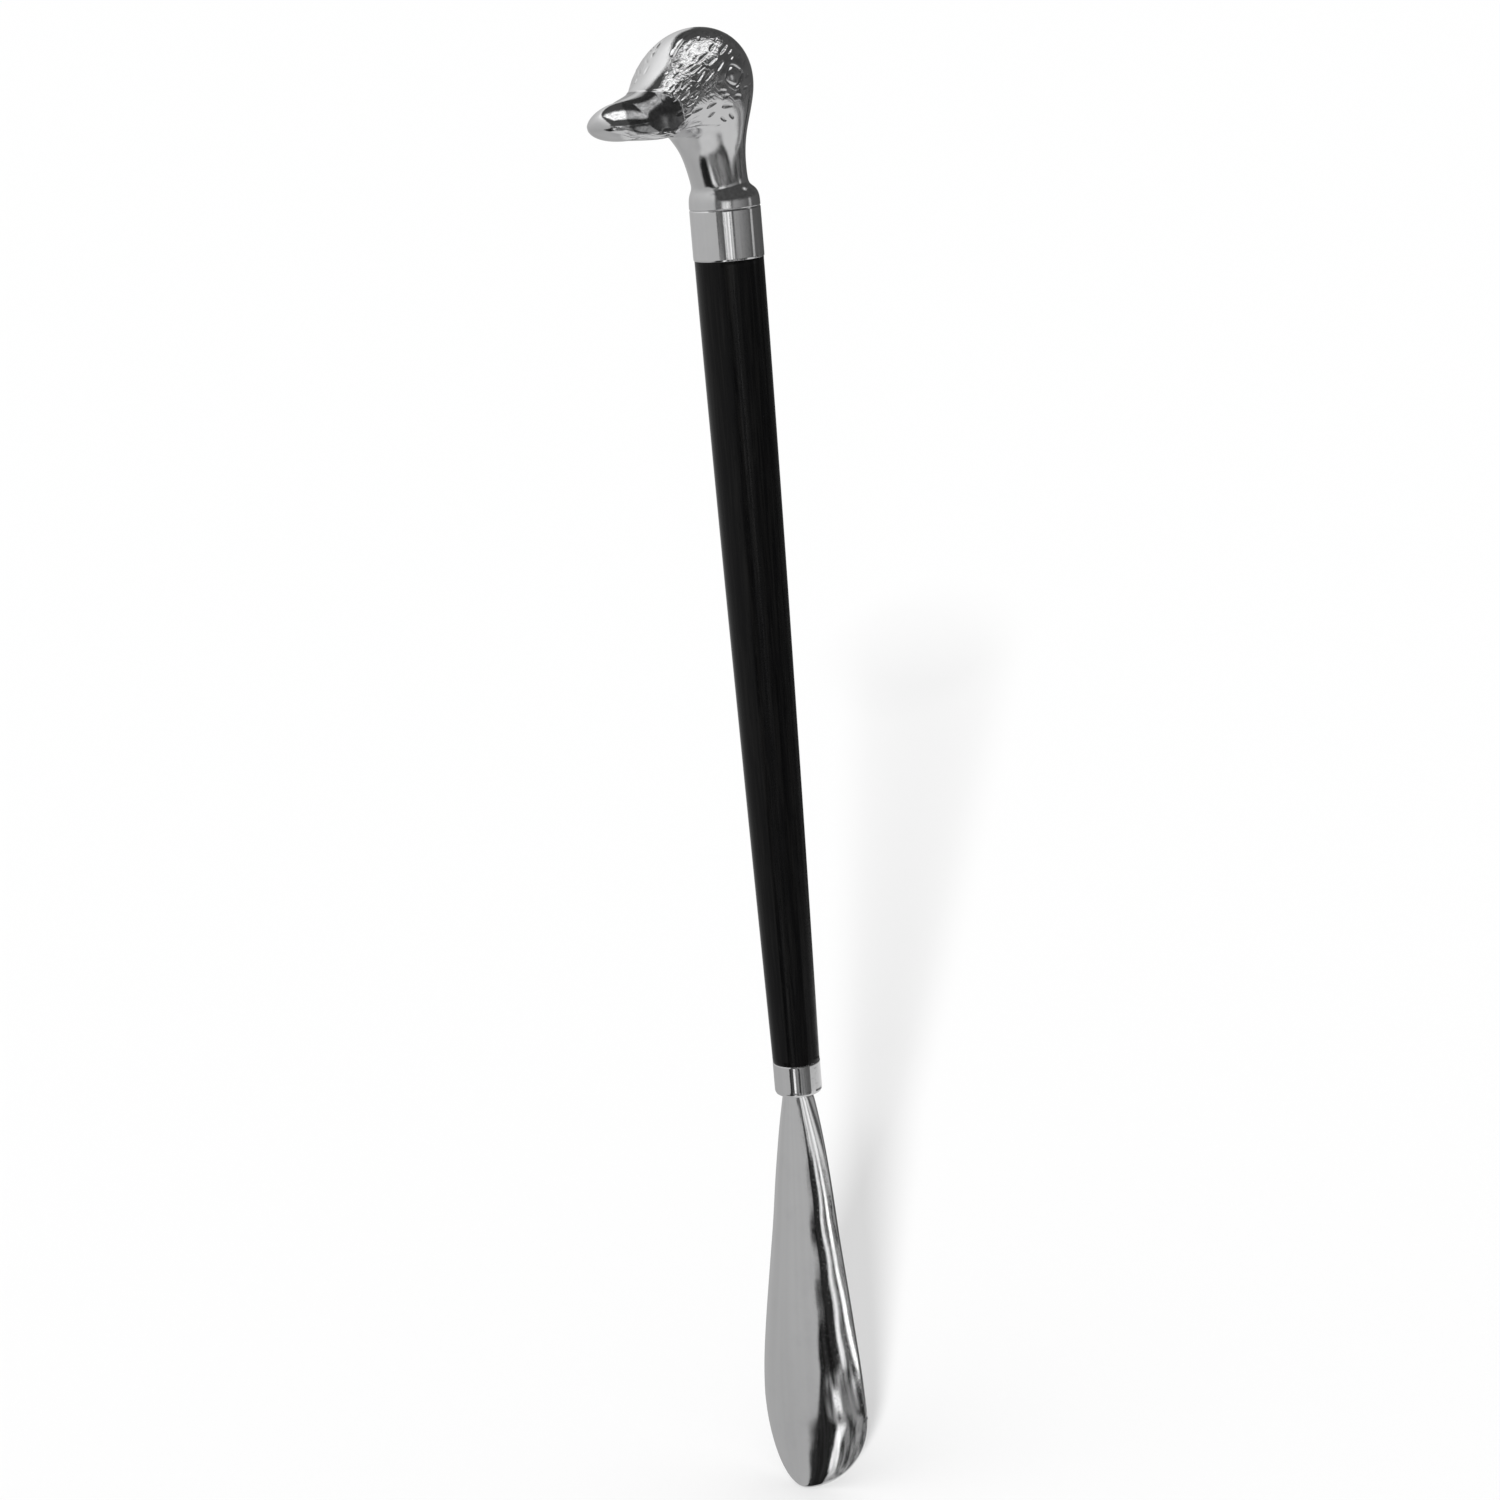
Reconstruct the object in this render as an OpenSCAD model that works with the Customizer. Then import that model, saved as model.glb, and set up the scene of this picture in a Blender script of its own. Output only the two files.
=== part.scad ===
// Long shoehorn with a cast duck head handle, a tapered wooden shaft between two metal
// collars, and a spoon shaped metal blade. It is drawn upright: +Z runs up the shaft to
// the head, +X is the way the bill points and the way the blade's rounded back faces.
// The origin is the centre of the upper collar.

/* [Upper collar] */
// Outside diameter of the upper collar, which also sizes the head
collar_d = 22; // [21.6:0.2:24]
// Height of the upper collar
collar_h = 15.5; // [12:0.5:20]
// Wall of both collars
collar_wall = 1; // [0.8:0.1:1.2]
// Bevel on the collar's edges
collar_bevel = 0.4; // [0.2:0.1:0.6]

/* [Shaft] */
// Length of the shaft that shows between the collars
shaft_len = 261.5; // [200:0.5:320]
// Diameter of the shaft just under the upper collar
shaft_top_d = 21.5; // [21:0.1:21.5]
// Diameter of the shaft just over the lower collar
shaft_end_d = 15.4; // [15:0.1:15.5]
// How full the taper is: 1 is a straight cone
shaft_swell = 1.4; // [1:0.1:1.8]

/* [Lower collar] */
// Outside diameter of the lower collar
ferrule_d = 15.5; // [15.5:0.1:17]
// Height of the lower collar
ferrule_h = 10.5; // [9:0.5:14]

/* [Blade] */
// Length of the blade below the lower collar
blade_len = 136; // [110:1:170]
// Width of the blade at its widest
blade_w = 44; // [38:0.5:48]
// Depth of the hollow at its widest
blade_depth = 10; // [7:0.5:11]
// Thickness of the metal
blade_t = 1.5; // [1.2:0.1:1.8]
// Length of the rounded end
blade_tip = 26; // [22:1:30]
// Length of the blade's neck inside the collar
tang_len = 8; // [5:0.5:8]

/* [Fasteners] */
// Diameter of the stud in the head
head_stud_d = 6; // [5:1:6]
// Diameter of the stud over the blade
blade_stud_d = 4; // [3:1:4]

/* [Detail] */
// Rings along the head
head_rings = 54; // [30:2:60]
// Points around each ring of the head
head_sides = 36; // [24:4:40]
// Rings along the blade
blade_rings = 34; // [20:2:44]
// Points across the blade
blade_cols = 20; // [12:2:24]

/* [Hidden] */
$fn = 96;
eps = 0.01;
head_k = collar_d / 22;
ferrule_top = -collar_h / 2 - shaft_len;
ferrule_end = ferrule_top - ferrule_h;
tenon_d = collar_d - 2 * collar_wall;
low_tenon_d = ferrule_d - 2 * collar_wall;
plug_h = 4;
low_tenon_len = ferrule_h - plug_h - 0.5;
head_socket = 18;
shaft_socket = 32;

// Side view of the head, from the base up the neck, over the crown and down to the bill.
// Each row is a slice: inner edge x, z, outer edge x, z, half width, the share of the
// slice at which it is widest, and how square its outer and inner halves are (2 = oval).
HEAD = [
    [11.0,  0.0, -11.0,  0.0, 11.0, 0.50, 2.0, 2.0],
    [10.9,  3.5, -10.9,  3.5, 10.9, 0.50, 2.0, 2.0],
    [10.4,  5.4,  -9.9,  5.6, 10.1, 0.50, 2.0, 2.0],
    [10.2,  6.8,  -7.8,  6.8,  9.0, 0.50, 2.0, 2.0],
    [10.8,  9.0,  -7.2,  9.2,  8.8, 0.50, 2.0, 2.0],
    [12.2, 13.5,  -6.8, 14.5,  9.2, 0.50, 2.0, 2.0],
    [14.0, 17.5,  -7.2, 20.0, 10.0, 0.50, 2.0, 2.0],
    [15.8, 20.0,  -8.2, 26.0, 11.4, 0.50, 2.0, 2.0],
    [17.4, 21.6, -10.4, 33.5, 12.8, 0.50, 2.0, 2.0],
    [18.8, 22.5, -11.2, 41.0, 14.0, 0.50, 2.0, 2.0],
    [20.2, 23.0,  -8.6, 48.0, 14.8, 0.50, 2.0, 2.0],
    [21.6, 23.3,  -2.4, 53.0, 15.0, 0.50, 2.0, 2.0],
    [23.2, 23.5,   6.4, 55.0, 15.0, 0.48, 2.0, 2.0],
    [25.2, 23.7,  15.4, 53.6, 14.8, 0.46, 2.0, 2.0],
    [27.4, 23.8,  22.2, 49.0, 13.8, 0.44, 2.0, 2.0],
    [29.8, 23.8,  27.2, 43.4, 12.0, 0.33, 2.2, 2.3],
    [32.6, 23.8,  32.4, 39.4, 10.5, 0.19, 2.8, 2.7],
    [37.0, 24.0,  37.4, 37.4,  9.8, 0.16, 3.2, 2.7],
    [43.0, 24.6,  43.4, 36.2,  9.9, 0.44, 1.6, 2.2]
];
bill_nose = 11.6;

// Half width of the blade's neck inside the collar, as a share of the widest half width
tang_share = (low_tenon_d / 2 - 0.5) / (blade_w / 2);

// The blade from the collar down. Each row: share of the way to the widest place, half
// width, hollow depth (both as shares of the widest), how far the back stands out in x.
BLADE = [
    [0.00, tang_share, 0.50,  4.8],
    [0.02, tang_share + 0.03, 0.51,  5.0],
    [0.07, 0.37, 0.55,  5.6],
    [0.18, 0.47, 0.61,  6.8],
    [0.32, 0.57, 0.69,  8.4],
    [0.46, 0.66, 0.77, 10.0],
    [0.59, 0.76, 0.85, 11.6],
    [0.73, 0.86, 0.93, 13.2],
    [0.87, 0.95, 0.98, 14.4],
    [1.00, 1.00, 1.00, 15.0]
];
blade_curl = 2.2;
tip_forward = 0.6;

// A smooth curve through the rows of a table, at position t counted in rows
function blend4(a, b, c, d, f) =
    0.5 * (2 * b + (c - a) * f + (2 * a - 5 * b + 4 * c - d) * f * f + (3 * b - a - 3 * c + d) * f * f * f);
function row_at(T, t) =
    let (n = len(T) - 1, i = min(floor(t), n - 1))
    blend4(T[max(i - 1, 0)], T[i], T[i + 1], T[min(i + 2, n)], t - i);

// Signed power, for rounded-square slices
function spow(v, p) = sign(v) * pow(abs(v), p);

// One closed slice of the head
function slice(s, n) =
    let (a = [s[0], s[1]], d = [s[2] - s[0], s[3] - s[1]], l = norm(d), e = d / l)
    [for (k = [0 : n - 1])
        let (c = cos(360 * k / n), q = sin(360 * k / n),
             p = c > 0 ? s[6] : s[7],
             b = c > 0 ? (1 - s[5]) * l : s[5] * l,
             h = s[5] * l + b * spow(c, 2 / p))
        [a[0] + e[0] * h, s[4] * spow(q, 2 / p), a[1] + e[1] * h]];

// Slice j of m on the round end of the bill
function nose_slice(s, j, m, n) =
    let (c = [(s[0] + s[2]) / 2, (s[1] + s[3]) / 2], d = [s[2] - s[0], s[3] - s[1]], l = norm(d), e = d / l,
         f = [e[1], -e[0]], a = 90 * j / m, k = pow(cos(a), 0.85), o = c + f * bill_nose * sin(a))
    slice([o[0] - e[0] * l / 2 * k, o[1] - e[1] * l / 2 * k, o[0] + e[0] * l / 2 * k, o[1] + e[1] * l / 2 * k,
           s[4] * k, s[5], s[6], s[7]], n);

// Triangles between m stacked rings of n points
function skin(m, n) =
    [for (r = [0 : m - 2], k = [0 : n - 1]) each
        let (a = r * n + k, b = r * n + (k + 1) % n)
        [[a, b + n, b], [a, a + n, b + n]]];

module head_form() {
    n = head_sides;
    m = head_rings;
    tips = 9;
    last = HEAD[len(HEAD) - 1];
    rings = concat(
        [for (k = [0 : m]) slice(row_at(HEAD, k / m * (len(HEAD) - 1)), n)],
        [for (j = [1 : tips - 1]) nose_slice(last, j, tips, n)]);
    points = concat([for (r = rings) each r], [[last[0] + 0.2 + bill_nose, 0, (last[1] + last[3]) / 2 - 0.2]]);
    top = len(points) - 1;
    faces = concat(
        [[for (k = [0 : n - 1]) k]],
        skin(len(rings), n),
        [for (k = [0 : n - 1]) [top, (len(rings) - 1) * n + (k + 1) % n, (len(rings) - 1) * n + k]]);
    polyhedron(points, faces, convexity = 6);
}

module duck_head() {
    color([0.78, 0.79, 0.80])
    translate([0, 0, collar_h / 2])
    difference() {
        scale(head_k) head_form();
        translate([0, 0, -1]) cylinder(d = head_stud_d, h = head_socket + 1);
    }
}

module head_stud() {
    color([0.60, 0.61, 0.63])
    translate([0, 0, -collar_h / 2 - shaft_socket + 2 + 8])
        cylinder(d = head_stud_d, h = collar_h + shaft_socket - 2 - 8 + head_socket - 1);
}

// A tube with its outside edges bevelled
module tube(d_out, d_in, h, bevel) {
    rotate_extrude()
        polygon([[d_in / 2, 0], [d_out / 2 - bevel, 0], [d_out / 2, bevel],
                 [d_out / 2, h - bevel], [d_out / 2 - bevel, h], [d_in / 2, h]]);
}

module upper_collar() {
    color([0.80, 0.81, 0.82])
    translate([0, 0, -collar_h / 2]) tube(collar_d, tenon_d, collar_h, collar_bevel);
}

// Radius of the shaft at share s of its length
function shaft_r(s) = shaft_top_d / 2 - (shaft_top_d - shaft_end_d) / 2 * pow(s, shaft_swell);

module shaft() {
    color([0.07, 0.07, 0.08])
    difference() {
        rotate_extrude()
            polygon(concat(
                [[0, collar_h / 2 - 0.5], [tenon_d / 2, collar_h / 2 - 0.5], [tenon_d / 2, -collar_h / 2]],
                [for (k = [0 : 16]) [shaft_r(k / 16), -collar_h / 2 - shaft_len * k / 16]],
                [[low_tenon_d / 2, ferrule_top], [low_tenon_d / 2, ferrule_top - low_tenon_len], [0, ferrule_top - low_tenon_len]]));
        translate([0, 0, -collar_h / 2 - shaft_socket + 8]) cylinder(d = head_stud_d, h = 100);
        translate([0, 0, ferrule_top - ferrule_h]) cylinder(d = blade_stud_d, h = ferrule_h + 26);
    }
}

module lower_collar() {
    color([0.80, 0.81, 0.82])
    translate([0, 0, ferrule_end])
    rotate_extrude()
        polygon([[low_tenon_d / 2, 0], [ferrule_d / 2 - 0.7, 0], [ferrule_d / 2 - 0.2, 0.2], [ferrule_d / 2, 0.7],
                 [ferrule_d / 2, ferrule_h - 0.3], [ferrule_d / 2 - 0.3, ferrule_h], [low_tenon_d / 2, ferrule_h]]);
}

// Point across the blade: s is a row, v runs from -1 to 1, t is how deep inside the metal
function across(s, v, t) =
    let (w = s[1] * blade_w / 2, d = s[2] * blade_depth, a = abs(v),
         n = [w, d * blade_curl * pow(a, blade_curl - 1) * sign(v)], l = norm(n))
    [s[3] - d * pow(a, blade_curl) - t * n[0] / l, w * v - t * n[1] / l];

// Closed outline of the metal in one slice of the blade
function blade_outline(s, n) = concat(
    [for (k = [0 : n]) across(s, -1 + 2 * k / n, 0)],
    [for (k = [n : -1 : 0]) across(s, -1 + 2 * k / n, blade_t)]);

// Slice at share q of the rounded end
function tip_row(a) =
    let (c = max(pow(1 - pow(sin(a), 2.1), 1 / 2.1), 0.05), s = BLADE[len(BLADE) - 1])
    [s[0], c, pow(c, 1.3), s[3] + tip_forward * (1 - cos(a))];

module blade() {
    n = blade_cols;
    m = blade_rings;
    tips = 14;
    full = blade_len - blade_tip;
    up = BLADE[0];
    rows = concat([up], [for (k = [0 : m]) row_at(BLADE, k / m * (len(BLADE) - 1))], [for (j = [1 : tips]) tip_row(90 * j / tips)]);
    drop = concat([-tang_len], [for (k = [0 : m]) rows[k + 1][0] * full], [for (j = [1 : tips]) full + blade_tip * sin(90 * j / tips)]);
    rings = [for (i = [0 : len(rows) - 1]) [for (p = blade_outline(rows[i], n)) [p[0], p[1], ferrule_end - drop[i]]]];
    q = 2 * n + 2;
    last = (len(rings) - 1) * q;
    // quads across the metal at each end keep the caps thin and clean
    cap0 = [for (k = [0 : n - 1]) each [[k, k + 1, q - 1 - k], [k + 1, q - 2 - k, q - 1 - k]]];
    cap1 = [for (k = [0 : n - 1]) each [[last + k, last + q - 1 - k, last + k + 1], [last + k + 1, last + q - 1 - k, last + q - 2 - k]]];
    color([0.76, 0.77, 0.78])
    polyhedron([for (r = rings) each r], concat(cap0, skin(len(rings), q), cap1), convexity = 6);
}

module collar_plug() {
    color([0.72, 0.73, 0.74])
    difference() {
        translate([0, 0, ferrule_end + 0.2]) cylinder(d = low_tenon_d, h = plug_h);
        translate([0, 0, ferrule_end - 1]) linear_extrude(height = ferrule_h) polygon(blade_outline(BLADE[0], blade_cols));
        translate([0, 0, ferrule_end + 1.4]) cylinder(d = blade_stud_d, h = ferrule_h);
    }
}

module blade_stud() {
    color([0.60, 0.61, 0.63])
    translate([0, 0, ferrule_end + 1.4]) cylinder(d = blade_stud_d, h = ferrule_h + 22);
}

duck_head();
head_stud();
upper_collar();
shaft();
lower_collar();
collar_plug();
blade_stud();
blade();
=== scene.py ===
"""Looks of the long shoehorn: cast duck head, lacquered wooden shaft, two collars and the blade."""
import math

import bpy
import numpy as np
from mathutils import Matrix, Vector


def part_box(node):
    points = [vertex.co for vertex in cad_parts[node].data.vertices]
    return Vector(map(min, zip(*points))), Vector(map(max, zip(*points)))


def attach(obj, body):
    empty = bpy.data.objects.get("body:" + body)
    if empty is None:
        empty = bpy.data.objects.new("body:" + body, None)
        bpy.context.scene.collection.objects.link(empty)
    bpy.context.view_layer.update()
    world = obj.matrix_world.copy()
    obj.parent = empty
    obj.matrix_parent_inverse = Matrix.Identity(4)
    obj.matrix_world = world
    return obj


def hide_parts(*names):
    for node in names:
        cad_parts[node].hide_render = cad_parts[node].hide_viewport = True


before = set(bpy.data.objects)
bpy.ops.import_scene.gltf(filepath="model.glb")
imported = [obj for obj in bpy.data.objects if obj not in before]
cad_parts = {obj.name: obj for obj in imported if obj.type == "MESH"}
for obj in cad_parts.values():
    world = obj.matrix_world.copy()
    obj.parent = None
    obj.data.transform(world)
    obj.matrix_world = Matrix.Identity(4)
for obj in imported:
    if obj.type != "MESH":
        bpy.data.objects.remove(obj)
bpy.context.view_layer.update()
MM = 0.001
RNG = np.random.default_rng(20)

# ------------------------------------------------------------------ the camera, first
TOWARD = np.array([0.766, 0.643, 0.0])       # level direction from the object to the camera
RIGHT = np.array([-0.643, 0.766, 0.0])       # image right
UP = np.array([0.0, 0.0, 1.0])
PITCH, ROLL = math.radians(14.143), math.radians(4.88)
fwd = -TOWARD * math.cos(PITCH) - UP * math.sin(PITCH)
up0 = np.cross(RIGHT, fwd)
cam_x = RIGHT * math.cos(ROLL) - up0 * math.sin(ROLL)
cam_y = up0 * math.cos(ROLL) + RIGHT * math.sin(ROLL)
cam_data = bpy.data.cameras.new("camera")
cam_data.sensor_width = 36.0
cam_data.lens = 79.56
cam_data.clip_start, cam_data.clip_end = 0.02, 400.0
cam = bpy.data.objects.new("camera", cam_data)
bpy.context.scene.collection.objects.link(cam)
cam.matrix_world = Matrix((
    (cam_x[0], cam_y[0], -fwd[0], 0.7902),
    (cam_x[1], cam_y[1], -fwd[1], 0.6549),
    (cam_x[2], cam_y[2], -fwd[2], 0.0947),
    (0, 0, 0, 1)))
bpy.context.scene.camera = cam


# ------------------------------------------------------------------ small tools
def smooth01(x, a, b):
    t = np.clip((np.asarray(x, float) - a) / (b - a), 0.0, 1.0)
    return t * t * (3 - 2 * t)


def spline(table, t):
    """Natural cubic spline through the rows of a table, knots at 0, 1, 2, ..."""
    P = np.asarray(table, float)
    n = len(P)
    A = np.zeros((n, n))
    R = np.zeros_like(P)
    A[0, 0] = A[-1, -1] = 1.0
    for i in range(1, n - 1):
        A[i, i - 1:i + 2] = 1.0, 4.0, 1.0
        R[i] = 6 * (P[i + 1] - 2 * P[i] + P[i - 1])
    M = np.linalg.solve(A, R)
    t = np.clip(np.asarray(t, float), 0, n - 1)
    i = np.minimum(t.astype(int), n - 2)
    f = (t - i)[:, None]
    return ((1 - f) * P[i] + f * P[i + 1]
            + ((1 - f) ** 3 - (1 - f)) * M[i] / 6 + (f ** 3 - f) * M[i + 1] / 6)


def gauss(a, sigma):
    """Moving Gaussian average down the rows of a, with mirrored ends."""
    r = int(4 * sigma) + 1
    k = np.exp(-0.5 * (np.arange(-r, r + 1) / sigma) ** 2)
    k /= k.sum()
    a2 = a[:, None] if a.ndim == 1 else a
    lead = 2 * a2[0] - a2[r:0:-1]
    tail = 2 * a2[-1] - a2[-2:-r - 2:-1]
    full = np.vstack([lead, a2, tail])
    out = np.stack([np.convolve(full[:, j], k, "valid") for j in range(a2.shape[1])], 1)
    return out[:, 0] if a.ndim == 1 else out


def make_mesh(name, verts_mm, faces, attrs=None):
    me = bpy.data.meshes.new(name)
    me.from_pydata([tuple(v) for v in (np.asarray(verts_mm) * MM)], [], faces)
    me.polygons.foreach_set("use_smooth", [True] * len(me.polygons))
    for key, values in (attrs or {}).items():
        at = me.attributes.new(key, "FLOAT", "POINT")
        at.data.foreach_set("value", np.asarray(values, np.float32))
    me.update()
    me.validate()
    ob = bpy.data.objects.new(name, me)
    bpy.context.scene.collection.objects.link(ob)
    return ob


def fillet(points, step_deg=12.0, hold=0.12):
    """Closed outline of (r, z, fillet radius) corners, as points with round corners and a
    holding point beside each, so that smooth shading keeps the flats flat."""
    pts = [np.array(p[:2], float) for p in points]
    rad = [p[2] if len(p) > 2 else 0.0 for p in points]
    out = []
    n = len(pts)
    for i in range(n):
        p, a, b = pts[i], pts[i - 1], pts[(i + 1) % n]
        da, db = a - p, b - p
        la, lb = np.linalg.norm(da), np.linalg.norm(db)
        da, db = da / la, db / lb
        ang = math.acos(max(-1, min(1, float(da @ db))))
        r = rad[i]
        if r < 1e-6 or abs(math.pi - ang) < 0.02:
            out.append(p)
            continue
        cut = min(r / math.tan(ang / 2), 0.45 * la, 0.45 * lb)
        r = cut * math.tan(ang / 2)
        c = p + (da + db) / np.linalg.norm(da + db) * (r / math.sin(ang / 2))
        s, e = p + da * cut, p + db * cut
        if la * 0.5 > cut + hold:
            out.append(p + da * (cut + hold))
        a0 = math.atan2(*(s - c)[::-1])
        a1 = math.atan2(*(e - c)[::-1])
        d = (a1 - a0 + math.pi) % (2 * math.pi) - math.pi
        k = max(2, int(abs(math.degrees(d)) / step_deg) + 1)
        for j in range(k + 1):
            t = a0 + d * j / k
            out.append(c + r * np.array([math.cos(t), math.sin(t)]))
        if lb * 0.5 > cut + hold:
            out.append(p + db * (cut + hold))
    return out


def lathe(name, outline, seg, wobble=None, step=None):
    """Turns a closed (r, z) outline round Z. Points on the axis share one vertex."""
    if step:
        more = []
        for i, p in enumerate(outline):
            q = outline[(i + 1) % len(outline)]
            more.append(p)
            d = np.linalg.norm(q - p)
            if d > step * 1.5:
                k = int(d / step)
                more += [p + (q - p) * j / k for j in range(1, k)]
        outline = more
    verts, rings, faces = [], [], []
    for r, z in outline:
        if r < 1e-6:
            verts.append((0, 0, z))
            rings.append([len(verts) - 1])
            continue
        ring = []
        for k in range(seg):
            t = 2 * math.pi * k / seg
            rr = r + (wobble(t, z) if wobble else 0.0)
            verts.append((rr * math.cos(t), rr * math.sin(t), z))
            ring.append(len(verts) - 1)
        rings.append(ring)
    n = len(rings)
    for i in range(n):
        a, b = rings[i], rings[(i + 1) % n]
        if len(a) == 1 and len(b) == 1:
            continue
        for k in range(seg):
            k2 = (k + 1) % seg
            if len(a) == 1:
                faces.append((a[0], b[k2], b[k]))
            elif len(b) == 1:
                faces.append((a[k], a[k2], b[0]))
            else:
                faces.append((a[k], a[k2], b[k2], b[k]))
    return make_mesh(name, verts, faces)


# ------------------------------------------------------------------ node writing
class Nodes:
    def __init__(self, tree):
        self.t = tree
        tree.nodes.clear()

    def add(self, kind, ins=None, **props):
        n = self.t.nodes.new(kind)
        for k, v in props.items():
            setattr(n, k, v)
        for k, v in (ins or {}).items():
            if isinstance(v, bpy.types.NodeSocket):
                self.t.links.new(v, n.inputs[k])
            else:
                n.inputs[k].default_value = v
        return n

    def m(self, op, a, b=0.0, c=0.0):
        return self.add("ShaderNodeMath", {0: a, 1: b, 2: c}, operation=op).outputs[0]

    def step(self, x, a, b, lo=0.0, hi=1.0):
        """Smooth change from lo to hi as x goes from a to b, with a below b."""
        return self.add("ShaderNodeMapRange", {0: x, 1: a, 2: b, 3: lo, 4: hi},
                        interpolation_type="SMOOTHSTEP").outputs[0]

    def lerp(self, f, a, b):
        return self.add("ShaderNodeMix", {0: f, 2: a, 3: b}, data_type="FLOAT").outputs[0]

    def ramp(self, x, stops, mode="LINEAR"):
        """Gray ramp through (position, value) stops, with positions in the units of x."""
        lo, hi = stops[0][0], stops[-1][0]
        u = self.add("ShaderNodeMapRange", {0: x, 1: lo, 2: hi, 3: 0.0, 4: 1.0}).outputs[0]
        r = self.add("ShaderNodeValToRGB", {0: u})
        cr = r.color_ramp
        cr.interpolation = mode
        while len(cr.elements) > 1:
            cr.elements.remove(cr.elements[-1])
        for i, (p, v) in enumerate(stops):
            e = cr.elements[0] if i == 0 else cr.elements.new((p - lo) / (hi - lo))
            e.position = (p - lo) / (hi - lo)
            e.color = (v, v, v, 1)
        return r.outputs[0]


def noise(N, vec, scale, detail=2.0, rough=0.5, distort=0.0):
    return N.add("ShaderNodeTexNoise", {"Vector": vec, "Scale": scale, "Detail": detail,
                                        "Roughness": rough, "Distortion": distort}).outputs[0]


# ------------------------------------------------------------------ materials
def chrome(name, tint=(0.80, 0.80, 0.805), rough=0.045, grain=0.0, patina=False, long_axis=(1, 1, 1), waves=0.0):
    """Polished plated metal: faint wipe marks, hair scratches and fine grain; with patina, dark patina in the recesses
    and a painted dark reflection on the bill's flat sides.
    """
    mat = bpy.data.materials.new(name)
    mat.use_nodes = True
    N = Nodes(mat.node_tree)
    co = N.add("ShaderNodeTexCoord").outputs["Object"]
    axis = N.add("ShaderNodeMapping", {"Vector": co, "Scale": long_axis}).outputs[0]
    cloud = noise(N, co, 95.0, 4.0, 0.6)
    wipe = noise(N, axis, 420.0, 3.0, 0.65)
    turned = N.add("ShaderNodeMapping", {"Vector": co, "Rotation": (0.6, 0.35, 0.9), "Scale": (0.12, 1.0, 1.0)}).outputs[0]
    hair = N.step(noise(N, turned, 2600.0, 2.0, 0.5), 0.62, 0.74)
    fine = noise(N, co, 5200.0, 2.0, 0.6)
    r = N.m("MULTIPLY_ADD", N.step(cloud, 0.35, 0.75), 0.025, rough)
    r = N.m("MULTIPLY_ADD", N.step(wipe, 0.5, 0.8), 0.018, r)
    r = N.m("MULTIPLY_ADD", hair, 0.05, r)
    if patina:
        mark = N.add("ShaderNodeAttribute", attribute_name="recess").outputs["Fac"]
        deep = N.step(mark, 0.15, 0.95)
        r = N.m("MULTIPLY_ADD", deep, 0.05, r)
    dull = N.m("MULTIPLY", N.step(cloud, 0.45, 0.8), 0.35)
    a = N.add("ShaderNodeMix", {0: dull, 6: (*tint, 1), 7: (tint[0] * 0.86, tint[1] * 0.86, tint[2] * 0.87, 1)}, data_type="RGBA")
    colour = a.outputs[2]
    if patina:
        a = N.add("ShaderNodeMix", {0: N.m("MULTIPLY", deep, 0.22), 6: colour, 7: (0.10, 0.10, 0.105, 1)}, data_type="RGBA")
        colour = a.outputs[2]
        # painted dark reflection: the flat sides of the bill are darkened in colour, in uneven patches, standing in for
        # the dark surroundings they reflect
        painted_dark_side = N.add("ShaderNodeAttribute", attribute_name="bill_side_painted_dark").outputs["Fac"]
        patch = N.step(noise(N, co, 420.0, 5.0, 0.7), 0.35, 0.68)
        painted_dark_amount = N.m("MULTIPLY", painted_dark_side, N.m("MULTIPLY_ADD", patch, 0.22, 0.62))
        a = N.add("ShaderNodeMix", {0: painted_dark_amount, 6: colour, 7: (0.11, 0.11, 0.113, 1)}, data_type="RGBA")
        colour = a.outputs[2]
        r = N.m("MULTIPLY_ADD", painted_dark_side, 0.10, r)
    h = N.m("MULTIPLY", fine, 1.0 * grain)
    h = N.m("MULTIPLY_ADD", hair, -0.25, h)
    if waves:
        h = N.m("MULTIPLY_ADD", noise(N, co, 160.0, 2.0, 0.5), waves, h)
    bump = N.add("ShaderNodeBump", {"Strength": 0.55, "Distance": 0.00002, "Height": h}).outputs[0]
    if patina:
        lay = N.add("ShaderNodeMapping", {"Vector": co, "Rotation": (0.0, 0.56, 0.0)}).outputs[0]
        lay = N.add("ShaderNodeMapping", {"Vector": lay, "Scale": (0.10, 1.0, 1.0)}).outputs[0]
        barbs = noise(N, lay, 1250.0, 2.0, 0.5, 0.5)
        mask = N.add("ShaderNodeAttribute", attribute_name="plume").outputs["Fac"]
        bump = N.add("ShaderNodeBump", {"Strength": 1.0, "Distance": 0.00020, "Height": N.m("MULTIPLY", barbs, mask), "Normal": bump}).outputs[0]
    s = N.add("ShaderNodeBsdfPrincipled", {"Base Color": colour, "Metallic": 1.0, "Roughness": r, "Normal": bump})
    out = N.add("ShaderNodeOutputMaterial")
    mat.node_tree.links.new(s.outputs[0], out.inputs[0])
    return mat


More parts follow.
